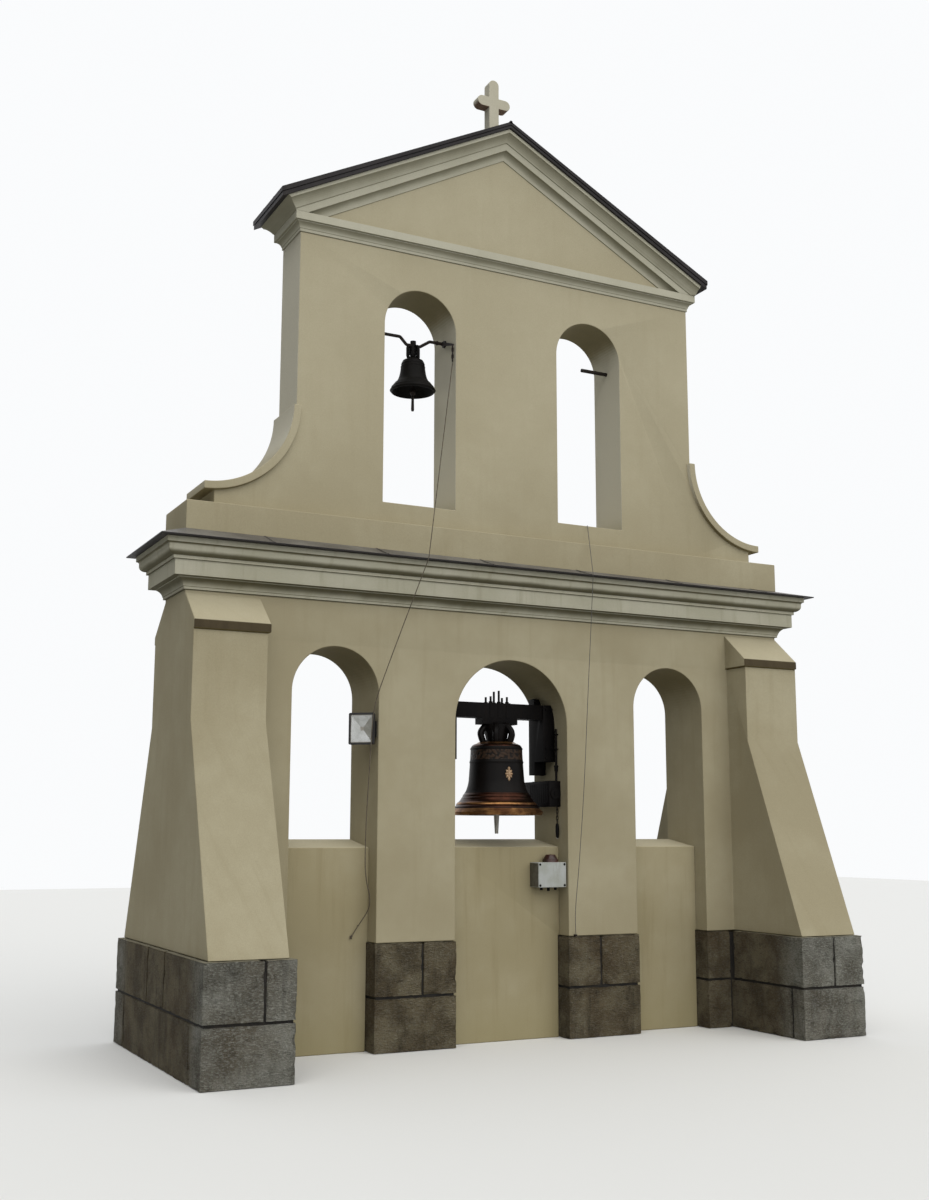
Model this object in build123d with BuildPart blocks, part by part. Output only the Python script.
"""Plastered bell tower with three bell openings below, two above and a gable."""

import os
from math import atan, cos, pi, radians, sin, tan

from build123d import *

os.makedirs("parts", exist_ok=True)

# Driving dimensions, in millimetres. X runs along the wall, the front faces -Y.
# Lengths and heights are stacked: each piece is placed from its neighbour's size.

# Lower storey
wall_depth = 540
plinth_height = 785
plinth_step = 12  # stone proud of the plaster at the piers
stone_joint = 14
stone_joint_depth = 8
left_foot_joint = 416  # upright joints of the upper course, from the stone's outer face
right_foot_joint = 302
centre_left_joint = 283  # the same, from the face towards the middle opening
centre_right_joint = 306
end_face_upper_joint = 226  # upright joints of the end faces, from the middle of the wall
end_face_lower_joint = 874
inner_face_joint = 1022
centre_opening_width = 1010
middle_pier_width = 652.5
side_opening_width = 695
end_pier_width = 827.5
side_crown_rise = 20  # the side arches end a little higher than the middle one
arch_wall_foot = 15  # the arched wall starts this much below the lowest springing
sill_rise = 755  # over the plinth
sill_fall = 60
parapet_recess = 150
parapet_rear_recess = 20
wall_over_crown = 341

# Buttresses
buttress_width = 546
buttress_top_projection = 256
buttress_foot_projection = 852
buttress_upright = 632  # from the knee to the cap
buttress_cap_height = 292
buttress_cap_edge = 60
buttress_cap_below = 21  # under the cornice
buttress_cap_overhang = 18
buttress_stone_step = 43

# Main cornice, from below: bed mould, corona, fillet, ovolo, cavetto and lip
bed_height = 85
bed_fillet = 16
bed_fillet_height = 20
bed_quirk = 4
bed_lip = 8
bed_curve = 9
bed_projection = 62
corona_height = 113
corona_projection = 109
fillet_height = 25
fillet_projection = 124
ovolo_radius = 46
ovolo_straight = 17
cavetto_radius = 19
cornice_lip = 39
flashing_projection = 250
flashing_drip = 8
flashing_rise = 69
flashing_thickness = 4
flashing_upstand = 14

# Upper plinth
upper_plinth_step = 16
upper_plinth_height = 248

# Volutes
volute_radius = 680
volute_coping_rise = 108  # lowest point of the coping over the upper plinth
volute_lap = 29  # of the coping over the upper wall's end
volute_end_inset = 85
coping_thickness = 60
coping_proud = 36

# Upper storey
upper_depth = 410
upper_middle_pier_width = 961
upper_opening_width = 635
upper_end_pier_width = 730.5
upper_sill_rise = 243
upper_sill_fall = 70
upper_opening_height = 1723
upper_arch_foot = 20.5
upper_wall_over_crown = 304

# Gable
upper_bed_height = 77
upper_bed_fillet = 8
upper_bed_fillet_height = 24
upper_bed_quirk = 4
upper_bed_lip = 8
upper_bed_curve = 6
upper_bed_projection = 42
upper_fascia_height = 64
upper_fascia_projection = 60
gable_shift = 36  # the gable sits this much to the left of the wall's middle
cyma_projection = 125
cyma_lip = 34
cyma_quirk = 7
cyma_curve = 7
cyma_end_curve = 5
roof_end_projection = 175
roof_projection = 150
roof_rise = 1083
eave_over_fascia = 86
roof_thickness = 48
raking_cyma_drop = 103
raking_fascia_drop = 166
raking_bed_drop = 240
raking_fascia_return = 18

# Cross
cross_height = 540
cross_bar = 94
cross_span = 316
cross_arm_drop = 212
cross_depth = 94
wedge_height = 72
wedge_length = 85
wedge_depth = 78

# Main bell, from the sill upwards
main_lip_over_sill = 190
main_bell_height = 555  # lip to shoulder
main_hanging_height = 280  # shoulder to axis
arch_over_axis = 385
main_lip_radius = 376
main_lip_edge = 22
main_lip_bevel = 12
main_lip_face = 30  # width of the lip's underside
main_bow_radius = 309
main_bow_height = 100
main_bow_wall = 52
main_hip_radius = 242
main_hip_height = 205
main_hip_wall = 36
main_waist_radius = 223
main_waist_height = 300
main_shoulder_radius = 209
main_shoulder_round = 30
main_crown_radius = 134
main_crown_rise = 34
main_crown_drop = 4
main_wall = 30
crown_disc_radius = 70
crown_boss_radius = 48
cannon_reach = 142
cannon_radius = 19
cannon_foot_inset = 24
cannon_knee = 62
cannon_clear = 16  # under the headstock
staple_inner = 12
staple_thickness = 12
staple_width = 48
clapper_pivot_drop = 45  # under the shoulder
clapper_pin_radius = 12
clapper_eye_radius = 30
clapper_shank_radius = 14
clapper_ball_radius = 50
clapper_ball_height = 75  # over the lip
clapper_ball_half = 57
clapper_neck_radius = 23
clapper_overhang = 146  # its end under the lip
headstock_gap = 7  # to each bearing
headstock_height = 120
headstock_depth = 130
saddle_length = 320  # the middle of the headstock is deeper
saddle_depth = 50
trunnion_radius = 22
trunnion_length = 60
strap_spacing = 75
strap_offset = 42
hook_drop = 62  # the hooks reach under the cannons
hook_bar_radius = 11
hook_margin = 16  # the bar runs this much past its rods
stud_radius = 9
stud_rise = 55
stud_extra = 48
nut_height = 14
bearing_width = 108
bearing_depth = 150
bearing_cap = 60  # top of the bearing block above the axis
bracket_over_post = 105
post_depth = 90
post_over_motor = 55
post_rise = 125
motor_width = 105
motor_length = 430
motor_height = 205
motor_over_lip = 70
motor_overhang = 160
conduit_radius = 9
conduit_inset = 16
conduit_setback = 40
conduit_length = 425
conduit_joint_radius = 15
conduit_joint_rise = 80
conduit_joint_length = 50
pull_chain = 130
pull_chain_radius = 4
pull_length = 120
pull_radius = 14
pull_taper = 4  # degrees
pull_inset = 26
pull_setback = 14

# Small bell
small_bell_shift = 25  # from the middle of its opening
small_axis_drop = 13.5  # under the springing
small_hanging_height = 212
small_bell_height = 279
small_lip_radius = 202
small_lip_edge = 16
small_lip_bevel = 10
small_lip_face = 18
small_bow_radius = 168
small_bow_height = 62
small_bow_wall = 20
small_hip_radius = 120
small_hip_height = 118
small_hip_wall = 16
small_waist_radius = 98
small_waist_height = 200
small_shoulder_radius = 90
small_shoulder_round = 20
small_crown_rise = 52
small_crown_radius = 30
small_crown_drop = 6
small_wall = 12
small_knot_width = 62
small_knot_length = 90
small_staple_inner = 8
small_staple_thickness = 7
small_staple_width = 22
small_pivot_drop = 45
small_pin_radius = 6
small_eye_radius = 15
small_eye_thickness = 12
small_shank_radius = 8
small_ball_radius = 24
small_ball_height = 32
small_ball_half = 28
small_neck_radius = 10
small_clapper_overhang = 128
small_clapper_foot = 12
small_clapper_flare = 3
small_bar_radius = 13
small_crank_drop = 60
small_crank_half = 60
small_crank_left = 119
small_crank_right = 150
small_crank_bend = 24
socket_radius = 30
socket_length = 14
socket_seat = 0.5  # the reveal turns into the arch just above the axis
lever_gap = 4
lever_thickness = 12
lever_half_width = 18
lever_length = 190
lever_end = 10
lever_fall = 65
lever_chain = 150
lever_chain_radius = 4
spare_bar_length = 260
spare_bar_radius = 16
spare_bar_drop = 12

# Floodlight and junction box
lamp_width = 200
lamp_height = 240
lamp_depth = 80
lamp_rim_depth = 28
lamp_rim_round = 12
lamp_rim_width = 15
lamp_recess = 22
lamp_body_inset = 8
lamp_taper = 18  # degrees
lamp_reach = 104.5  # from the reveal
lamp_inset = 65  # behind the wall's face
lamp_drop = 257.5  # under the springing
lamp_turn = 40  # degrees
bracket_plate = 8
bracket_plate_width = 60
bracket_plate_height = 120
bracket_arm_height = 24
bracket_arm_near = 20  # behind the plate's middle
box_width = 255
box_height = 195
box_depth = 135
box_round = 10
box_rise = 380  # over the plinth
box_inset = 13  # from the right reveal
dome_radius = 62
dome_height = 60
dome_foot = 22
dome_taper = 34  # degrees
dome_inset = 105  # from the box's right side

# Ropes
rope_diameter = 8
line_diameter = 5
edge_bend = 5  # bend of a tight rope over an edge, in its diameters
rope_edge_gap = 2.6
line_edge_gap = 4
rope_slack = 8  # space between the lever's chain and the rope, for the lever's travel
line_foot_height = 14  # over the plinth's top
line_head_inset = 12  # from the rear edge of the upper sill
clip_width = 18
clip_seat = 0.4
nail_radius = 3
nail_length = 26
nail_clear = 6  # beside the rope where it passes the upper nail
nail_fall = 22

running_gap = 0.3

# Sizes that follow from them

half_depth = wall_depth / 2
side_opening_inner = centre_opening_width / 2 + middle_pier_width
side_opening_offset = side_opening_inner + side_opening_width / 2
side_opening_outer = side_opening_inner + side_opening_width
half_wall = side_opening_outer + end_pier_width
pier_middle = centre_opening_width / 2 + middle_pier_width / 2
half_upper_depth = upper_depth / 2
upper_inner = upper_middle_pier_width / 2
upper_opening_offset = upper_inner + upper_opening_width / 2
upper_outer = upper_inner + upper_opening_width
half_upper = upper_outer + upper_end_pier_width

sill_height = plinth_height + sill_rise
main_lip_height = sill_height + main_lip_over_sill
main_shoulder_height = main_lip_height + main_bell_height
main_axis_height = main_shoulder_height + main_hanging_height
centre_crown = main_axis_height + arch_over_axis
side_crown = centre_crown + side_crown_rise
centre_springing = centre_crown - centre_opening_width / 2
side_springing = side_crown - side_opening_width / 2
arch_wall_bottom = centre_springing - arch_wall_foot
wall_top = side_crown + wall_over_crown

buttress_cap_top = wall_top - buttress_cap_below
buttress_cap_bottom = buttress_cap_top - buttress_cap_height
buttress_knee = buttress_cap_bottom - buttress_upright

corona_bottom = wall_top + bed_height
fillet_bottom = corona_bottom + corona_height
ovolo_bottom = fillet_bottom + fillet_height
cornice_edge_top = ovolo_bottom + ovolo_radius + ovolo_straight + cavetto_radius + cornice_lip
flashing_edge = cornice_edge_top + flashing_drip
upper_plinth_bottom = cornice_edge_top + flashing_rise
upper_plinth_top = upper_plinth_bottom + upper_plinth_height
volute_centre_x = half_upper - volute_lap + coping_thickness + volute_radius
volute_centre_z = upper_plinth_top + volute_coping_rise + coping_thickness + volute_radius
volute_end = volute_centre_x - volute_end_inset

upper_sill = upper_plinth_top + upper_sill_rise
upper_crown = upper_sill + upper_opening_height
upper_springing = upper_crown - upper_opening_width / 2
upper_arch_bottom = upper_springing - upper_arch_foot
upper_wall_top = upper_crown + upper_wall_over_crown
upper_fascia_bottom = upper_wall_top + upper_bed_height
upper_fascia_top = upper_fascia_bottom + upper_fascia_height

roof_half_length = half_upper + roof_end_projection
roof_eave = upper_fascia_top + eave_over_fascia
roof_apex = roof_eave + roof_rise
roof_slope = roof_rise / roof_half_length
roof_angle = atan(roof_slope)
roof_vertical = roof_thickness / cos(roof_angle)
under_roof = roof_apex - roof_vertical

small_axis_height = upper_springing - small_axis_drop
small_bell_x = small_bell_shift - upper_opening_offset
small_shoulder_height = small_axis_height - small_hanging_height
small_lip_height = small_shoulder_height - small_bell_height


def finish(builder, name):
    """Label a finished piece and write it out."""
    builder.part.label = name
    export_step(builder.part, "parts/" + name + ".step")


def slab(x_low, x_high, y_low, y_high, z_low, z_high, mode=Mode.ADD):
    """A block between two opposite corners, in the current part."""
    with Locations(((x_low + x_high) / 2, (y_low + y_high) / 2, (z_low + z_high) / 2)):
        Box(x_high - x_low, y_high - y_low, z_high - z_low, mode=mode)


def arched_cut(centre_x, width, bottom, springing):
    """Cut a round-headed opening right through the wall."""
    with BuildSketch(Plane.XZ) as opening:
        with Locations((centre_x, (bottom + springing) / 2)):
            Rectangle(width, springing - bottom)
        with Locations((centre_x, springing)):
            Circle(width / 2)
    extrude(opening.sketch, amount=wall_depth, both=True, mode=Mode.SUBTRACT)


# Stone plinths in two courses


def stone_block(x_low, x_high, y_low, y_high):
    """A block of the plinth, with the bed joint cut round it at half its height."""
    slab(x_low, x_high, y_low, y_high, 0, plinth_height)
    inset = stone_joint_depth
    with BuildPart(mode=Mode.PRIVATE) as bed:
        slab(x_low - 1, x_high + 1, y_low - 1, y_high + 1, bed_joint_low, bed_joint_high)
        slab(x_low + inset, x_high - inset, y_low + inset, y_high - inset,
             bed_joint_low - 1, bed_joint_high + 1, mode=Mode.SUBTRACT)
    add(bed.part, mode=Mode.SUBTRACT)


def front_and_rear_joint(joint_x, face_y, z_low, z_high):
    """An upright joint in the front face of a block and in its rear face."""
    for side in (-1, 1):
        slab(joint_x - stone_joint / 2, joint_x + stone_joint / 2,
             *sorted((side * (face_y - stone_joint_depth), side * (face_y + 1))),
             z_low, z_high, mode=Mode.SUBTRACT)


def side_joints(face_x, outward, joint_y, z_low, z_high):
    """Two upright joints in a face that looks along X, one towards each end of the depth."""
    for side in (-1, 1):
        slab(*sorted((face_x - outward * stone_joint_depth, face_x + outward)),
             side * joint_y - stone_joint / 2, side * joint_y + stone_joint / 2,
             z_low, z_high, mode=Mode.SUBTRACT)


bed_joint_low = (plinth_height - stone_joint) / 2
bed_joint_high = (plinth_height + stone_joint) / 2
stone_half_depth = half_depth + plinth_step
for name, side, joint in (
    ("plinth_centre_left", -1, centre_left_joint),
    ("plinth_centre_right", 1, centre_right_joint),
):
    low, high = sorted((side * (centre_opening_width / 2), side * side_opening_inner))
    with BuildPart() as centre_plinth:
        stone_block(low - plinth_step, high + plinth_step, -stone_half_depth, stone_half_depth)
        joint_x = side * (centre_opening_width / 2 - plinth_step + joint)
        front_and_rear_joint(joint_x, stone_half_depth, bed_joint_high, plinth_height + 1)
    finish(centre_plinth, name)

buttress_inner = half_wall - buttress_width
stone_foot = half_depth + buttress_foot_projection + buttress_stone_step
foot_inner = buttress_inner - buttress_stone_step
foot_outer = half_wall + buttress_stone_step
for name, side, joint in (
    ("plinth_left_end", -1, left_foot_joint),
    ("plinth_right_end", 1, right_foot_joint),
):
    pier_edge = side * (side_opening_outer - plinth_step)
    with BuildPart() as end_plinth:
        stone_block(*sorted((side * foot_inner, side * foot_outer)), -stone_foot, stone_foot)
        front_and_rear_joint(side * (foot_outer - joint), stone_foot, bed_joint_high, plinth_height + 1)
        side_joints(side * foot_outer, side, end_face_upper_joint, bed_joint_high, plinth_height + 1)
        side_joints(side * foot_outer, side, end_face_lower_joint, -1, bed_joint_low)
        side_joints(side * foot_inner, -side, inner_face_joint, -1, bed_joint_low)
        stone_block(*sorted((pier_edge, side * (foot_inner + stone_joint_depth))),
                    -stone_half_depth, stone_half_depth)
        front_and_rear_joint(side * (foot_inner - stone_joint / 2), stone_half_depth, -1, plinth_height + 1)
    finish(end_plinth, name)

# Piers of the lower storey

for name, low, high in (
    ("pier_left_end", -half_wall, -side_opening_outer),
    ("pier_centre_left", -side_opening_inner, -centre_opening_width / 2),
    ("pier_centre_right", centre_opening_width / 2, side_opening_inner),
    ("pier_right_end", side_opening_outer, half_wall),
):
    with BuildPart() as pier:
        slab(low, high, -half_depth, half_depth, plinth_height, arch_wall_bottom)
    finish(pier, name)

# Arched wall over the piers, in three lengths that meet over the middle piers

for name, low, high, centre, width, springing in (
    ("arch_wall_left", -half_wall, -pier_middle, -side_opening_offset, side_opening_width, side_springing),
    ("arch_wall_centre", -pier_middle, pier_middle, 0, centre_opening_width, centre_springing),
    ("arch_wall_right", pier_middle, half_wall, side_opening_offset, side_opening_width, side_springing),
):
    with BuildPart() as arch_wall:
        slab(low, high, -half_depth, half_depth, arch_wall_bottom, wall_top)
        arched_cut(centre, width, arch_wall_bottom - 1, springing)
    finish(arch_wall, name)

# Parapets that close the openings below the sills, with a sill that falls to the front

parapet_front = -half_depth + parapet_recess
parapet_back = half_depth - parapet_rear_recess
for name, centre, width in (
    ("parapet_left", -side_opening_offset, side_opening_width),
    ("parapet_centre", 0, centre_opening_width),
    ("parapet_right", side_opening_offset, side_opening_width),
):
    with BuildPart() as parapet:
        with BuildSketch(Plane.YZ.offset(centre - width / 2)):
            Polygon(
                (parapet_front, 0),
                (parapet_back, 0),
                (parapet_back, sill_height),
                (parapet_front, sill_height - sill_fall),
                align=None,
            )
        extrude(amount=width)
        for edge, face in ((-1, centre - width / 2), (1, centre + width / 2)):
            slab(*sorted((face, face - edge * plinth_step)), parapet_front - 1, parapet_back + 1, -1,
                 plinth_height, mode=Mode.SUBTRACT)
    finish(parapet, name)

# Buttresses, upright above the knee and battered below it, each with a weathered cap

cap_low = half_depth + buttress_top_projection + buttress_cap_overhang
for end_name, end in (("left", -1), ("right", 1)):
    for face_name, face in (("front", -1), ("rear", 1)):
        outer = end * half_wall
        inner = end * buttress_inner
        low, high = sorted((outer, inner))
        cap_inner = end * (buttress_inner - buttress_cap_overhang)
        cap_x_low, cap_x_high = sorted((outer, cap_inner))
        with BuildPart() as buttress:
            with BuildSketch(Plane.YZ.offset(low)):
                Polygon(
                    (face * half_depth, plinth_height),
                    (face * (half_depth + buttress_foot_projection), plinth_height),
                    (face * (half_depth + buttress_top_projection), buttress_knee),
                    (face * (half_depth + buttress_top_projection), buttress_cap_bottom),
                    (face * half_depth, buttress_cap_bottom),
                    align=None,
                )
            extrude(amount=high - low)
            with BuildSketch(Plane.YZ.offset(cap_x_low)):
                Polygon(
                    (face * half_depth, buttress_cap_bottom),
                    (face * cap_low, buttress_cap_bottom),
                    (face * cap_low, buttress_cap_bottom + buttress_cap_edge),
                    (face * half_depth, buttress_cap_top),
                    align=None,
                )
            extrude(amount=cap_x_high - cap_x_low)
        finish(buttress, "buttress_" + face_name + "_" + end_name)

# Main cornice: the same moulding runs round all four sides


def cornice_outline(half_width):
    """The main cornice's outline, across the wall or along it, mirrored about its middle."""
    fillet_x = half_width + fillet_projection
    ovolo_x = fillet_x + ovolo_radius
    straight_top = ovolo_bottom + ovolo_radius + ovolo_straight
    with BuildSketch(mode=Mode.PRIVATE) as outline:
        with BuildLine():
            foot = Polyline(
                (0, wall_top),
                (half_width + bed_fillet, wall_top),
                (half_width + bed_fillet, wall_top + bed_fillet_height),
                (half_width + bed_fillet + bed_quirk, wall_top + bed_fillet_height),
            )
            bed = SagittaArc(foot @ 1, (half_width + bed_projection, corona_bottom - bed_lip), bed_curve)
            corona = Polyline(
                bed @ 1,
                (half_width + bed_projection, corona_bottom),
                (half_width + corona_projection, corona_bottom),
                (half_width + corona_projection, fillet_bottom),
                (fillet_x, fillet_bottom),
                (fillet_x, ovolo_bottom),
            )
            ovolo = CenterArc((fillet_x, ovolo_bottom + ovolo_radius), ovolo_radius, 270, 90)
            Line(ovolo @ 1, (ovolo_x, straight_top))
            CenterArc((ovolo_x + cavetto_radius, straight_top), cavetto_radius, 90, 90)
            Polyline(
                (ovolo_x + cavetto_radius, straight_top + cavetto_radius),
                (ovolo_x + cavetto_radius, cornice_edge_top),
                (half_width + upper_plinth_step, upper_plinth_bottom),
                (0, upper_plinth_bottom),
            )
            mirror(about=Plane.YZ)
        make_face()
    return outline.sketch


with BuildPart() as main_cornice:
    with BuildSketch(Plane.XZ):
        add(cornice_outline(half_wall))
    extrude(amount=2 * half_wall, both=True)
    with BuildSketch(Plane.YZ):
        add(cornice_outline(half_depth))
    extrude(amount=2 * half_wall, both=True, mode=Mode.INTERSECT)
finish(main_cornice, "main_cornice")

# Sheet flashing that sheds water off the cornice


def flashing_outline(half_width):
    """The sheet's slope and drip as a solid outline, still full inside."""
    with BuildSketch(mode=Mode.PRIVATE) as outline:
        edge = half_width + flashing_projection
        inner = half_width + upper_plinth_step
        upstand_top = upper_plinth_bottom + flashing_thickness + flashing_upstand
        with BuildLine():
            Polyline(
                (0, flashing_edge - flashing_drip),
                (edge, flashing_edge - flashing_drip),
                (edge, flashing_edge),
                (inner, upstand_top),
                (0, upstand_top),
            )
            mirror(about=Plane.YZ)
        make_face()
    return outline.sketch


with BuildPart() as cornice_flashing:
    with BuildSketch(Plane.XZ):
        add(flashing_outline(half_wall))
    extrude(amount=2 * half_wall, both=True)
    with BuildSketch(Plane.YZ):
        add(flashing_outline(half_depth))
    extrude(amount=2 * half_wall, both=True, mode=Mode.INTERSECT)
    add(main_cornice.part, mode=Mode.SUBTRACT)
    slab(-half_wall - upper_plinth_step, half_wall + upper_plinth_step,
         -half_depth - upper_plinth_step, half_depth + upper_plinth_step,
         flashing_edge - flashing_drip - 1, upper_plinth_top, mode=Mode.SUBTRACT)
finish(cornice_flashing, "cornice_flashing")

with BuildPart() as upper_plinth:
    slab(-half_wall - upper_plinth_step, half_wall + upper_plinth_step,
         -half_depth - upper_plinth_step, half_depth + upper_plinth_step,
         upper_plinth_bottom, upper_plinth_top)
finish(upper_plinth, "upper_plinth")

# Volutes: concave shoulders with a coping that stands proud and laps the upper wall

for name, side in (("volute_left", -1), ("volute_right", 1)):
    centre = (side * volute_centre_x, volute_centre_z)
    inner_radius = volute_radius + coping_thickness
    with BuildPart() as volute:
        with BuildSketch(Plane.XZ):
            with Locations((side * (half_upper + volute_end) / 2, (upper_plinth_top + volute_centre_z) / 2)):
                Rectangle(volute_end - half_upper, volute_centre_z - upper_plinth_top)
            with Locations(centre):
                Circle(inner_radius - 1, mode=Mode.SUBTRACT)
        extrude(amount=half_upper_depth, both=True)
        with BuildSketch(Plane.XZ):
            with Locations(centre):
                Circle(inner_radius)
                Circle(volute_radius, mode=Mode.SUBTRACT)
            with Locations((side * (volute_centre_x - inner_radius), volute_centre_z - inner_radius)):
                Rectangle(2 * inner_radius, 2 * inner_radius, mode=Mode.INTERSECT)
        extrude(amount=half_upper_depth + coping_proud, both=True)
        slab(-half_upper, half_upper, -half_upper_depth, half_upper_depth,
             upper_plinth_top, volute_centre_z + 1, mode=Mode.SUBTRACT)
    finish(volute, name)

# Upper storey

with BuildPart() as upper_base:
    slab(-half_upper, half_upper, -half_upper_depth, half_upper_depth, upper_plinth_top, upper_sill)
    for side in (-1, 1):
        with BuildSketch(Plane.YZ.offset(side * upper_opening_offset - upper_opening_width / 2)):
            Polygon(
                (-half_upper_depth - 1, upper_sill - upper_sill_fall),
                (half_upper_depth + 1, upper_sill),
                (half_upper_depth + 1, upper_sill + 1),
                (-half_upper_depth - 1, upper_sill + 1),
                align=None,
            )
        extrude(amount=upper_opening_width, mode=Mode.SUBTRACT)
finish(upper_base, "upper_base")

for name, low, high in (
    ("upper_pier_left", -half_upper, -upper_outer),
    ("upper_pier_centre", -upper_inner, upper_inner),
    ("upper_pier_right", upper_outer, half_upper),
):
    with BuildPart() as upper_pier:
        slab(low, high, -half_upper_depth, half_upper_depth, upper_sill, upper_arch_bottom)
    finish(upper_pier, name)

for name, low, high, centre in (
    ("upper_arch_wall_left", -half_upper, 0, -upper_opening_offset),
    ("upper_arch_wall_right", 0, half_upper, upper_opening_offset),
):
    with BuildPart() as upper_arch_wall:
        slab(low, high, -half_upper_depth, half_upper_depth, upper_arch_bottom, upper_wall_top)
        arched_cut(centre, upper_opening_width, upper_arch_bottom - 1, upper_springing)
    finish(upper_arch_wall, name)

# Level cornice under the gable


def upper_cornice_outline(half_width):
    """The gable's level cornice: bed moulding and fascia."""
    bed_x = half_width + upper_bed_projection
    fascia_x = half_width + upper_fascia_projection
    with BuildSketch(mode=Mode.PRIVATE) as outline:
        with BuildLine():
            foot = Polyline(
                (0, upper_wall_top),
                (half_width + upper_bed_fillet, upper_wall_top),
                (half_width + upper_bed_fillet, upper_wall_top + upper_bed_fillet_height),
                (half_width + upper_bed_fillet + upper_bed_quirk, upper_wall_top + upper_bed_fillet_height),
            )
            bed = SagittaArc(foot @ 1, (bed_x, upper_fascia_bottom - upper_bed_lip), upper_bed_curve)
            Polyline(
                bed @ 1,
                (bed_x, upper_fascia_bottom),
                (fascia_x, upper_fascia_bottom),
                (fascia_x, upper_fascia_top),
                (0, upper_fascia_top),
            )
            mirror(about=Plane.YZ)
        make_face()
    return outline.sketch


with BuildPart() as upper_cornice:
    with BuildSketch(Plane.XZ):
        add(upper_cornice_outline(half_upper))
    extrude(amount=2 * half_wall, both=True)
    with BuildSketch(Plane.YZ):
        add(upper_cornice_outline(half_upper_depth))
    extrude(amount=2 * half_wall, both=True, mode=Mode.INTERSECT)
finish(upper_cornice, "upper_cornice")

# Gable: tympanum, raking cornice and roof

gable_x = -gable_shift
tympanum_apex = under_roof - raking_bed_drop
tympanum_half = (tympanum_apex - upper_fascia_top) / roof_slope
with BuildPart() as tympanum:
    with BuildSketch(Plane.XZ):
        Polygon(
            (gable_x - tympanum_half, upper_fascia_top),
            (gable_x + tympanum_half, upper_fascia_top),
            (gable_x, tympanum_apex),
            align=None,
        )
    extrude(amount=half_upper_depth, both=True)
finish(tympanum, "tympanum")

cyma_end = half_upper + cyma_projection
cyma_end_z = under_roof - roof_slope * cyma_end
fascia_end = half_upper + upper_fascia_projection
cyma_y = half_upper_depth + cyma_projection
fascia_y = half_upper_depth + upper_fascia_projection
bed_y = half_upper_depth + upper_bed_fillet
lip_low = -cyma_lip * cos(roof_angle)
cyma_low = -raking_cyma_drop * cos(roof_angle)
fascia_low = -raking_fascia_drop * cos(roof_angle)
bed_low = -raking_bed_drop * cos(roof_angle)


def raking_half(side):
    """One slope of the raking cornice, from the gable's middle to the eave."""
    along_slope = (side * cos(roof_angle), 0, -sin(roof_angle))
    with BuildPart(mode=Mode.PRIVATE) as half:
        with BuildSketch(Plane(origin=(gable_x, 0, under_roof), x_dir=(0, side, 0), z_dir=along_slope)):
            with BuildLine():
                top = Polyline((0, 0), (cyma_y, 0), (cyma_y, lip_low), (cyma_y - cyma_quirk, lip_low))
                cyma = SagittaArc(top @ 1, (fascia_y + cyma_quirk, cyma_low), -cyma_curve)
                fascia = Polyline(
                    cyma @ 1,
                    (fascia_y, cyma_low),
                    (fascia_y, fascia_low),
                    (fascia_y - raking_fascia_return, fascia_low),
                )
                bed = SagittaArc(fascia @ 1, (bed_y, bed_low + upper_bed_fillet_height), -upper_bed_curve)
                Polyline(bed @ 1, (bed_y, bed_low), (0, bed_low))
                mirror(about=Plane.YZ)
            make_face()
        extrude(amount=2 * half_wall, both=True)
        with BuildSketch(Plane.XZ):
            with BuildLine():
                ridge = Polyline(
                    (gable_x, tympanum_apex),
                    (gable_x, under_roof),
                    (gable_x + side * cyma_end, cyma_end_z),
                )
                eave = SagittaArc(ridge @ 1, (side * fascia_end, upper_fascia_top), -side * cyma_end_curve)
                Polyline(
                    eave @ 1,
                    (gable_x + side * tympanum_half, upper_fascia_top),
                    (gable_x, tympanum_apex),
                )
            make_face()
        extrude(amount=2 * half_wall, both=True, mode=Mode.INTERSECT)
    return half.part


with BuildPart() as raking_cornice:
    add(raking_half(-1))
    add(raking_half(1))
finish(raking_cornice, "raking_cornice")

with BuildPart() as roof:
    with BuildSketch(Plane.XZ):
        Polygon(
            (gable_x - roof_half_length, roof_eave),
            (gable_x - roof_half_length, roof_eave - roof_vertical),
            (gable_x, under_roof),
            (gable_x + roof_half_length, roof_eave - roof_vertical),
            (gable_x + roof_half_length, roof_eave),
            (gable_x, roof_apex),
            align=None,
        )
    extrude(amount=half_upper_depth + roof_projection, both=True)
finish(roof, "roof")

cross_top = roof_apex + cross_height
with BuildPart() as cross:
    with BuildSketch(Plane.XZ):
        Polygon(
            (gable_x - cross_bar / 2, roof_apex - roof_slope * cross_bar / 2),
            (gable_x, roof_apex),
            (gable_x + cross_bar / 2, roof_apex - roof_slope * cross_bar / 2),
            (gable_x + cross_bar / 2, cross_top - cross_bar / 2),
            (gable_x - cross_bar / 2, cross_top - cross_bar / 2),
            align=None,
        )
        with Locations((gable_x, cross_top - cross_bar / 2)):
            Circle(cross_bar / 2)
        with Locations((gable_x, cross_top - cross_arm_drop)):
            SlotOverall(cross_span, cross_bar)
    extrude(amount=cross_depth / 2, both=True)
finish(cross, "cross")

# Sheet wedge that sheds water at the foot of the cross, left of it and behind

wedge_x = gable_x - cross_bar / 2
wedge_low_x = wedge_x - wedge_length
wedge_foot = roof_apex - roof_slope * cross_bar / 2
with BuildPart() as cross_wedge:
    with BuildSketch(Plane.XZ):
        Polygon(
            (wedge_x, wedge_foot),
            (wedge_x, wedge_foot + wedge_height),
            (wedge_low_x, wedge_foot - roof_slope * wedge_length),
            align=None,
        )
    extrude(amount=-wedge_depth)
finish(cross_wedge, "cross_wedge")

# Main bell, turned about its own upright axis, with six cannons round its crown

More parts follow.
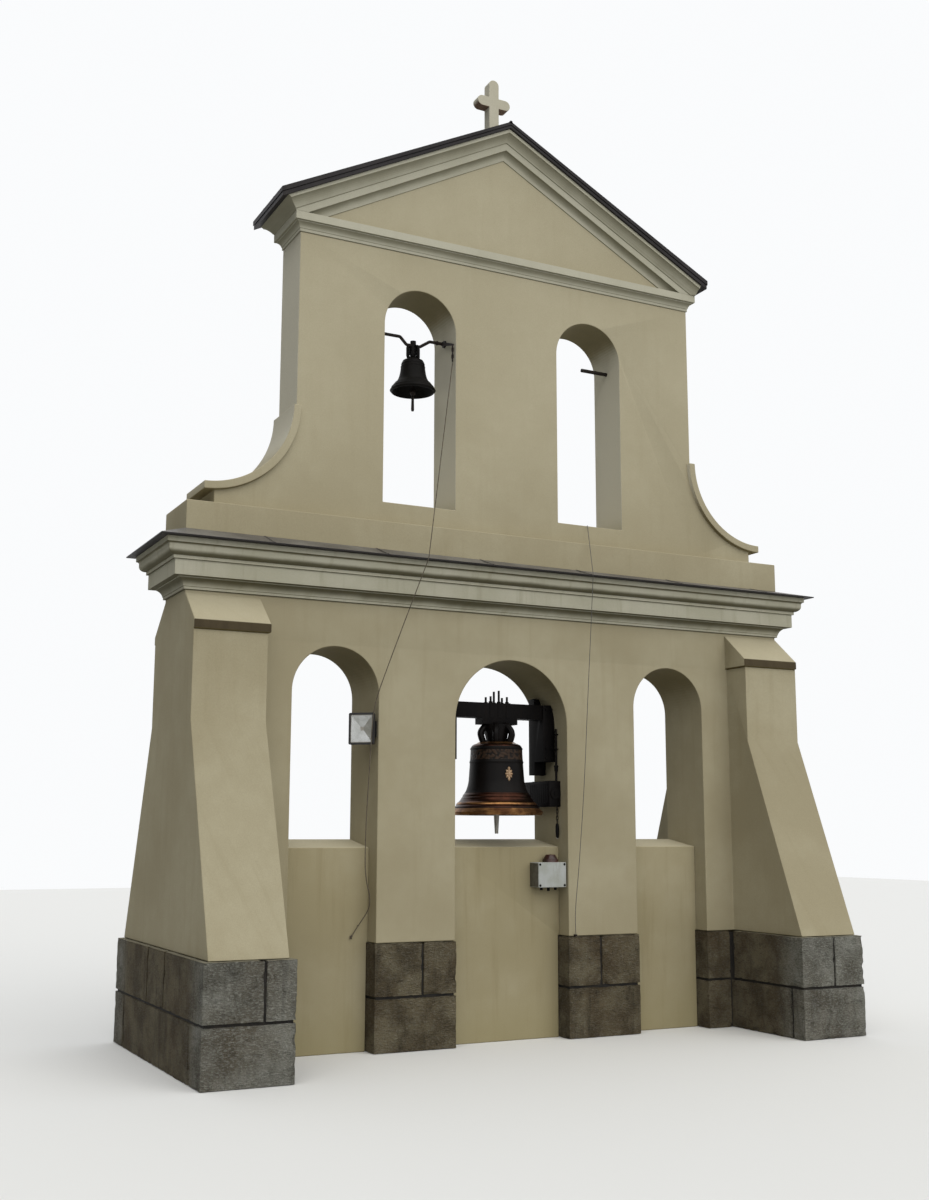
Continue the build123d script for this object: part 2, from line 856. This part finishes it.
main_crown = main_shoulder_height + main_crown_rise
headstock_bottom = main_axis_height - headstock_height / 2
headstock_top = main_axis_height + headstock_height / 2
hanger_bottom = headstock_bottom - saddle_depth
headstock_length = centre_opening_width - 2 * (bearing_width + headstock_gap)
clapper_pivot = main_shoulder_height - clapper_pivot_drop
main_hollow_top = main_shoulder_height - main_crown_drop

with BuildPart() as main_bell:
    with BuildSketch(Plane.XZ):
        with BuildLine():
            lip = main_lip_height
            outer_lip = Line((main_lip_radius - main_lip_bevel, lip), (main_lip_radius, lip + main_lip_edge))
            bow = Spline(
                outer_lip @ 1,
                (main_bow_radius, lip + main_bow_height),
                (main_hip_radius, lip + main_hip_height),
                (main_waist_radius, lip + main_waist_height),
                (main_shoulder_radius, main_shoulder_height - main_shoulder_round),
                tangents=((-0.5, 1), (-0.05, 1)),
            )
            shoulder = Spline(
                bow @ 1,
                (main_shoulder_radius - main_shoulder_round, main_shoulder_height + main_shoulder_round / 3),
                (main_crown_radius, main_shoulder_height + main_shoulder_round),
                tangents=((-0.1, 1), (-1, 0.1)),
            )
            Polyline(
                shoulder @ 1,
                (crown_disc_radius, main_crown),
                (0, main_crown),
                (0, main_hollow_top),
                (main_crown_radius, main_hollow_top),
            )
            inner = Spline(
                (main_crown_radius, main_hollow_top),
                (main_shoulder_radius - main_wall, main_shoulder_height - clapper_pivot_drop),
                (main_waist_radius - main_wall, lip + main_waist_height),
                (main_hip_radius - main_hip_wall, lip + main_hip_height),
                (main_bow_radius - main_bow_wall, lip + main_bow_height),
                (main_lip_radius - main_lip_bevel - main_lip_face, lip),
                tangents=((1, -0.1), (0.7, -1)),
            )
            Line(inner @ 1, outer_lip @ 0)
        make_face()
    revolve(axis=Axis.Z)
    with BuildSketch(Plane.XY.offset(main_crown)):
        Circle(crown_boss_radius)
    extrude(amount=hanger_bottom - main_crown)
    with BuildLine(mode=Mode.PRIVATE) as cannon_line:
        ThreePointArc(
            (crown_boss_radius - cannon_radius / 2, 0, hanger_bottom - cannon_radius - cannon_clear),
            (cannon_reach, 0, main_crown + cannon_knee),
            (cannon_reach - cannon_foot_inset, 0, main_crown - main_crown_drop),
        )
    with BuildPart(mode=Mode.PRIVATE) as cannon:
        with BuildSketch(Plane(origin=cannon_line.line @ 0, z_dir=cannon_line.line % 0)):
            Circle(cannon_radius)
        sweep(path=cannon_line.line)
    with PolarLocations(0, 6):
        add(cannon.part)
    for side in (-1, 1):
        slab(*sorted((side * staple_inner, side * (staple_inner + staple_thickness))),
             -staple_width / 2, staple_width / 2, clapper_pivot - staple_width / 2, main_shoulder_height)
    with BuildSketch(Plane.YZ.offset(-staple_inner - staple_thickness / 2)):
        with Locations((0, clapper_pivot)):
            Circle(clapper_pin_radius)
    extrude(amount=2 * staple_inner + staple_thickness)
finish(main_bell, "main_bell")

ball_top = main_lip_height + clapper_ball_height + clapper_ball_half
ball_bottom = main_lip_height + clapper_ball_height - clapper_ball_half
clapper_end = main_lip_height - clapper_overhang
with BuildPart() as main_clapper:
    with BuildSketch(Plane.XZ):
        with BuildLine():
            Polyline(
                (0, clapper_pivot - clapper_eye_radius),
                (clapper_shank_radius, clapper_pivot - clapper_eye_radius),
                (clapper_neck_radius, ball_top),
            )
            Spline(
                (clapper_neck_radius, ball_top),
                (clapper_ball_radius, main_lip_height + clapper_ball_height),
                (clapper_neck_radius, ball_bottom),
                tangents=((0.8, -1), (-1, -1)),
            )
            Polyline(
                (clapper_neck_radius, ball_bottom),
                (clapper_shank_radius, clapper_end),
                (0, clapper_end),
                (0, clapper_pivot - clapper_eye_radius),
            )
        make_face()
    revolve(axis=Axis.Z)
    with BuildSketch(Plane.YZ):
        with Locations((0, clapper_pivot)):
            Circle(clapper_eye_radius)
            Circle(clapper_pin_radius + running_gap, mode=Mode.SUBTRACT)
        with Locations((0, clapper_pivot - clapper_eye_radius)):
            Rectangle(2 * clapper_shank_radius, clapper_shank_radius)
    extrude(amount=staple_inner - 2, both=True)
finish(main_clapper, "main_clapper")

with BuildPart() as headstock:
    slab(-headstock_length / 2, headstock_length / 2, -headstock_depth / 2, headstock_depth / 2,
         headstock_bottom, headstock_top)
    slab(-saddle_length / 2, saddle_length / 2, -headstock_depth / 2, headstock_depth / 2,
         hanger_bottom, headstock_bottom)
    with BuildSketch(Plane.YZ):
        with Locations((0, main_axis_height)):
            Circle(trunnion_radius)
    extrude(amount=headstock_length / 2 + trunnion_length, both=True)
    for strap_x in (-strap_spacing, 0, strap_spacing):
        for strap_y in (-strap_offset, strap_offset):
            with BuildSketch(Plane.XY.offset(headstock_top)):
                with Locations((strap_x, strap_y)):
                    Circle(stud_radius)
            extrude(amount=stud_rise + (stud_extra if strap_x == 0 else 0))
            with BuildSketch(Plane.XY.offset(headstock_top)):
                with Locations((strap_x, strap_y)):
                    RegularPolygon(2 * stud_radius, 6)
            extrude(amount=nut_height)
    for hook_x in (-strap_spacing, strap_spacing):
        for hook_y in (-strap_offset, strap_offset):
            with BuildSketch(Plane.XY.offset(hanger_bottom - hook_drop)):
                with Locations((hook_x, hook_y)):
                    Circle(stud_radius)
            extrude(amount=hook_drop + 1)
        with BuildSketch(Plane.XZ):
            with Locations((hook_x, hanger_bottom - hook_drop)):
                Circle(hook_bar_radius)
        extrude(amount=strap_offset + hook_margin, both=True)
finish(headstock, "headstock")

# Bearings of the headstock: block and bracket on each reveal, with an upright post behind

jamb = centre_opening_width / 2
bearing_inner = jamb - bearing_width
motor_bottom = main_lip_height + motor_over_lip
motor_top = motor_bottom + motor_height
post_bottom = motor_top + post_over_motor
bracket_bottom = post_bottom + bracket_over_post
for name, side in (("bearing_left", -1), ("bearing_right", 1)):
    low, high = sorted((side * bearing_inner, side * jamb))
    with BuildPart() as bearing:
        slab(low, high, -bearing_depth / 2, bearing_depth / 2, bracket_bottom, main_axis_height + bearing_cap)
        with BuildSketch(Plane.YZ):
            with Locations((0, main_axis_height)):
                Circle(trunnion_radius + running_gap)
        extrude(amount=2 * half_wall, both=True, mode=Mode.SUBTRACT)
        slab(low, high, bearing_depth / 2, bearing_depth / 2 + post_depth,
             post_bottom, main_axis_height + post_rise)
        with BuildSketch(Plane.XZ) as clear_arch:
            with Locations((0, centre_springing)):
                Circle(jamb)
            with Locations((0, centre_springing / 2)):
                Rectangle(2 * jamb, centre_springing)
        extrude(amount=2 * half_wall, both=True, mode=Mode.INTERSECT)
    finish(bearing, name)

# Swing motor on the right reveal, with its conduit and a hanging pull weight

motor_front = -motor_overhang
conduit_place = (jamb - conduit_inset, motor_front + conduit_setback)
with BuildPart() as swing_motor:
    slab(jamb - motor_width, jamb, motor_front, motor_front + motor_length, motor_bottom, motor_top)
    with BuildSketch(Plane.XY.offset(motor_top)):
        with Locations(conduit_place):
            Circle(conduit_radius)
    extrude(amount=conduit_length)
    with BuildSketch(Plane.XY.offset(motor_top + conduit_joint_rise)):
        with Locations(conduit_place):
            Circle(conduit_joint_radius)
    extrude(amount=conduit_joint_length)
finish(swing_motor, "swing_motor")

pull_place = (jamb - pull_inset, motor_front + pull_setback)
with BuildPart() as pull_weight:
    with BuildSketch(Plane.XY.offset(motor_bottom - pull_chain)):
        with Locations(pull_place):
            Circle(pull_chain_radius)
    extrude(amount=pull_chain)
    with BuildSketch(Plane.XY.offset(motor_bottom - pull_chain - pull_length)):
        with Locations(pull_place):
            Circle(pull_radius)
    extrude(amount=pull_length, taper=pull_taper)
finish(pull_weight, "pull_weight")

# Small bell on its cranked bar

small_pivot = small_shoulder_height - small_pivot_drop
small_hollow_top = small_shoulder_height + small_crown_drop
crank_z = small_axis_height - small_crank_drop
with BuildPart() as small_bell:
    with BuildSketch(Plane.XZ):
        with BuildLine():
            lip = small_lip_height
            rim = Line((small_lip_radius - small_lip_bevel, lip), (small_lip_radius, lip + small_lip_edge))
            outside = Spline(
                rim @ 1,
                (small_bow_radius, lip + small_bow_height),
                (small_hip_radius, lip + small_hip_height),
                (small_waist_radius, lip + small_waist_height),
                (small_shoulder_radius, small_shoulder_height - small_shoulder_round),
                tangents=((-0.6, 1), (-0.1, 1)),
            )
            crown = Spline(
                outside @ 1,
                (small_shoulder_radius - small_shoulder_round, small_shoulder_height + small_shoulder_round),
                (small_crown_radius, small_shoulder_height + small_crown_rise),
                tangents=((-0.2, 1), (-0.6, 1)),
            )
            Polyline(
                crown @ 1,
                (0, small_shoulder_height + small_crown_rise),
                (0, small_hollow_top),
                (small_crown_radius, small_hollow_top),
            )
            hollow = Spline(
                (small_crown_radius, small_hollow_top),
                (small_shoulder_radius - small_wall, small_shoulder_height - small_pivot_drop),
                (small_waist_radius - small_wall, lip + small_waist_height),
                (small_hip_radius - small_hip_wall, lip + small_hip_height),
                (small_bow_radius - small_bow_wall, lip + small_bow_height),
                (small_lip_radius - small_lip_face, lip),
                tangents=((1, -0.2), (0.7, -1)),
            )
            Line(hollow @ 1, rim @ 0)
        make_face()
    revolve(axis=Axis.Z)
    knot_foot = small_shoulder_height + small_crown_rise - small_crown_drop
    with BuildSketch(Plane.YZ):
        with Locations((0, (knot_foot + crank_z) / 2)):
            SlotOverall(crank_z - knot_foot + small_knot_width + 2 * small_crown_drop, small_knot_width,
                        rotation=90)
        with Locations((0, crank_z)):
            Circle(small_bar_radius + running_gap, mode=Mode.SUBTRACT)
    extrude(amount=small_knot_length / 2, both=True)
    for side in (-1, 1):
        slab(*sorted((side * small_staple_inner, side * (small_staple_inner + small_staple_thickness))),
             -small_staple_width / 2, small_staple_width / 2,
             small_pivot - small_staple_width / 2, small_shoulder_height + 2 * small_crown_drop)
    with BuildSketch(Plane.YZ.offset(-small_staple_inner - small_staple_thickness / 2)):
        with Locations((0, small_pivot)):
            Circle(small_pin_radius)
    extrude(amount=2 * small_staple_inner + small_staple_thickness)
small_bell.part = small_bell.part.moved(Location((small_bell_x, 0, 0)))
finish(small_bell, "small_bell")

small_ball_top = small_lip_height + small_ball_height + small_ball_half
small_ball_bottom = small_lip_height + small_ball_height - small_ball_half
small_clapper_end = small_lip_height - small_clapper_overhang
with BuildPart() as small_clapper:
    with BuildSketch(Plane.XZ):
        with BuildLine():
            Polyline(
                (0, small_pivot - small_eye_radius),
                (small_shank_radius, small_pivot - small_eye_radius),
                (small_shank_radius, small_ball_top),
            )
            Spline(
                (small_shank_radius, small_ball_top),
                (small_ball_radius, small_lip_height + small_ball_height),
                (small_neck_radius, small_ball_bottom),
                tangents=((1, -1), (-1, -1)),
            )
            Polyline(
                (small_neck_radius, small_ball_bottom),
                (small_neck_radius + small_clapper_flare, small_clapper_end + small_clapper_foot),
                (small_neck_radius, small_clapper_end),
                (0, small_clapper_end),
                (0, small_pivot - small_eye_radius),
            )
        make_face()
    revolve(axis=Axis.Z)
    with BuildSketch(Plane.YZ):
        with Locations((0, small_pivot)):
            Circle(small_eye_radius)
            Circle(small_pin_radius + running_gap, mode=Mode.SUBTRACT)
        with Locations((0, small_pivot - small_eye_radius)):
            Rectangle(1.5 * small_shank_radius, small_shank_radius)
    extrude(amount=small_eye_thickness / 2, both=True)
small_clapper.part = small_clapper.part.moved(Location((small_bell_x, 0, 0)))
finish(small_clapper, "small_clapper")

upper_jamb_left = -upper_outer
upper_jamb_right = -upper_inner
lever_right = upper_jamb_right - socket_length - lever_gap
lever_x = lever_right - lever_thickness / 2
lever_z = small_axis_height - lever_fall
with BuildPart() as small_bar:
    with BuildLine() as bar_line:
        FilletPolyline(
            (upper_jamb_left + 2 * socket_seat, 0, small_axis_height),
            (small_bell_x - small_crank_left, 0, small_axis_height),
            (small_bell_x - small_crank_half, 0, crank_z),
            (small_bell_x + small_crank_half, 0, crank_z),
            (small_bell_x + small_crank_right, 0, small_axis_height),
            (upper_jamb_right - 2 * socket_seat, 0, small_axis_height),
            radius=small_crank_bend,
        )
    with BuildSketch(Plane(origin=bar_line.line @ 0, z_dir=bar_line.line % 0)):
        Circle(small_bar_radius)
    sweep()
    with BuildSketch(Plane.YZ.offset(lever_right - lever_thickness)):
        with BuildLine():
            Polyline(
                (lever_half_width, small_axis_height),
                (0, small_axis_height + lever_half_width),
                (-lever_length, lever_z + lever_half_width / 2),
                (-lever_length - lever_end, lever_z - lever_half_width * 2 / 3),
                (0, small_axis_height - lever_half_width),
                (lever_half_width, small_axis_height),
            )
        make_face()
    extrude(amount=lever_thickness)
    with BuildSketch(Plane.XY.offset(lever_z - lever_chain)):
        with Locations((lever_x, -lever_length)):
            Circle(lever_chain_radius)
    extrude(amount=lever_chain)
finish(small_bar, "small_bar")

for name, low, high in (
    ("small_socket_left", upper_jamb_left + socket_seat, upper_jamb_left + socket_length),
    ("small_socket_right", upper_jamb_right - socket_length, upper_jamb_right - socket_seat),
):
    with BuildPart() as socket:
        with BuildSketch(Plane.YZ.offset(low)):
            with Locations((0, small_axis_height)):
                Circle(socket_radius)
                Circle(small_bar_radius + running_gap, mode=Mode.SUBTRACT)
        extrude(amount=high - low)
    finish(socket, name)

# Bar left in the right-hand upper opening, which has no bell

with BuildPart() as spare_bar:
    with BuildSketch(Plane.YZ.offset(upper_outer - spare_bar_length)):
        with Locations((0, small_axis_height - spare_bar_drop)):
            Circle(spare_bar_radius)
    extrude(amount=spare_bar_length)
finish(spare_bar, "spare_bar")

# Floodlight on the reveal of the left opening

reveal = -side_opening_inner
lamp_x = reveal - lamp_reach
lamp_y = lamp_inset - half_depth
lamp_z = side_springing - lamp_drop
lamp_place = Location((lamp_x, lamp_y, lamp_z), (0, 0, -lamp_turn))
with BuildPart() as floodlight:
    with BuildSketch(Plane.XZ):
        RectangleRounded(lamp_width, lamp_height, lamp_rim_round)
    extrude(amount=lamp_rim_depth)
    with BuildSketch(Plane.XZ):
        RectangleRounded(lamp_width - 2 * lamp_body_inset, lamp_height - 2 * lamp_body_inset,
                         lamp_rim_round - lamp_body_inset / 4)
    extrude(amount=-lamp_depth, taper=lamp_taper)
    with BuildSketch(Plane.XZ.offset(lamp_rim_depth)):
        Rectangle(lamp_width - 2 * lamp_rim_width, lamp_height - 2 * lamp_rim_width)
    extrude(amount=-lamp_recess, mode=Mode.SUBTRACT)
floodlight.part = floodlight.part.moved(lamp_place)
finish(floodlight, "floodlight")

plate_face = reveal - bracket_plate
with BuildPart() as lamp_bracket:
    slab(plate_face, reveal, lamp_y - bracket_plate_width / 2, lamp_y + bracket_plate_width / 2,
         lamp_z - bracket_plate_height / 2, lamp_z + bracket_plate_height / 2)
    slab(lamp_x, plate_face, lamp_y + bracket_arm_near, lamp_y + bracket_arm_near + bracket_plate,
         lamp_z - bracket_arm_height / 2, lamp_z + bracket_arm_height / 2)
    add(floodlight.part, mode=Mode.SUBTRACT)
finish(lamp_bracket, "lamp_bracket")

# Junction box on the middle parapet, with a small dome on top

box_right = jamb - box_inset
box_bottom = plinth_height + box_rise
box_top = box_bottom + box_height
dome_place = (box_right - dome_inset, parapet_front - box_depth / 2)
with BuildPart() as junction_box:
    slab(box_right - box_width, box_right, parapet_front - box_depth, parapet_front, box_bottom, box_top)
    fillet(junction_box.edges().filter_by(Axis.Y), box_round)
    with BuildSketch(Plane.XY.offset(box_top)):
        with Locations(dome_place):
            Circle(dome_radius)
    extrude(amount=dome_foot)
    with BuildSketch(Plane.XY.offset(box_top + dome_foot)):
        with Locations(dome_place):
            Circle(dome_radius)
    extrude(amount=dome_height - dome_foot, taper=dome_taper)
finish(junction_box, "junction_box")

# Free ropes: straight runs joined by arcs


def rope_tube(points, diameter, tight):
    """A round tube along the points; tight lists the corners that lie on an edge."""
    corners = [Vector(*point) for point in points]
    radii = []
    for index in range(1, len(corners) - 1):
        before = corners[index] - corners[index - 1]
        after = corners[index + 1] - corners[index]
        turn = radians(before.get_angle(after))
        shorter = min(before.length, after.length)
        radii.append(edge_bend * diameter if index in tight else 0.45 * shorter / tan(turn / 2))
    print("bend radii", [round(radius) for radius in radii])
    with BuildPart() as tube:
        with BuildLine() as route:
            FilletPolyline(*points, radius=radii)
        with BuildSketch(Plane(origin=route.line @ 0, z_dir=route.line % 0)):
            Circle(diameter / 2)
        sweep()
    length = sum(edge.length for edge in route.line.edges())
    share = tube.part.volume / (length * pi * diameter**2 / 4)
    print("rope length", round(length), "volume share", round(share, 4))
    return tube


flashing_face = half_depth + flashing_projection
rope_over_edge = -(flashing_face + rope_diameter / 2 + rope_edge_gap)
line_over_edge = -(flashing_face + line_diameter / 2 + line_edge_gap)
edge_middle = flashing_edge - flashing_drip / 2
rope_top = small_axis_height - lever_fall - lever_chain - rope_slack
bell_rope_points = (
    (lever_x, -lever_length, rope_top),
    (-868, rope_over_edge, edge_middle),
    (-1016, -412, 3170),
    (-1144, -346, 2770),
    (-1196, -314, 2590),
    (-1217, -301, 2460),
    (-1224, -297, 2330),
    (-1240, -294, 2020),
    (-1256, -290, 1700),
    (-1259, -284, 1430),
    (-1252, -274, 1310),
    (-1232, -262, 1215),
    (-1203, -250, 1130),
    (-1192, -232, 1060),
    (-1206, -196, 995),
    (-1238, -158, 930),
    (-1270, -136, 872),
    (-1299, -131, 824),
)
bell_rope = rope_tube(bell_rope_points, rope_diameter, (1,))
finish(bell_rope, "bell_rope")

sill_front = upper_sill - upper_sill_fall
line_head_x = 1000
line_foot_x = 556
line_foot_y = -290
line_foot_z = plinth_height + line_foot_height
line_points = (
    (line_head_x, half_upper_depth - line_head_inset, upper_sill + 3),
    (765, -half_upper_depth - 3, sill_front + 5),
    (613, line_over_edge, flashing_edge - 2),
    (623, -472, 3290),
    (607, -432, 2690),
    (590, -388, 1960),
    (562, -340, 1330),
    (540, -308, 980),
    (550, -294, 860),
    (line_foot_x, line_foot_y, line_foot_z),
)
signal_line = rope_tube(line_points, line_diameter, (1, 2))
finish(signal_line, "signal_line")

clip_back = half_upper_depth - line_head_inset + line_diameter / 2
with BuildPart() as line_clips:
    slab(line_foot_x - clip_width / 2, line_foot_x + clip_width / 2, line_foot_y - line_diameter, -half_depth,
         plinth_height, line_foot_z - clip_seat)
    slab(line_head_x - clip_width / 2, line_head_x + clip_width / 2, clip_back, half_upper_depth,
         upper_sill, upper_sill + 2 * line_diameter)
finish(line_clips, "line_clips")

foot_x, foot_y, foot_z = bell_rope_points[-1]
pass_x, pass_y, pass_z = bell_rope_points[-3]
nail_places = (
    (foot_x, foot_z - rope_diameter),
    (pass_x - nail_clear, pass_z - nail_fall),
)
with BuildPart() as rope_nails:
    for nail_place in nail_places:
        with BuildSketch(Plane.XZ.offset(-parapet_front)):
            with Locations(nail_place):
                Circle(nail_radius)
        extrude(amount=nail_length)
finish(rope_nails, "rope_nails")
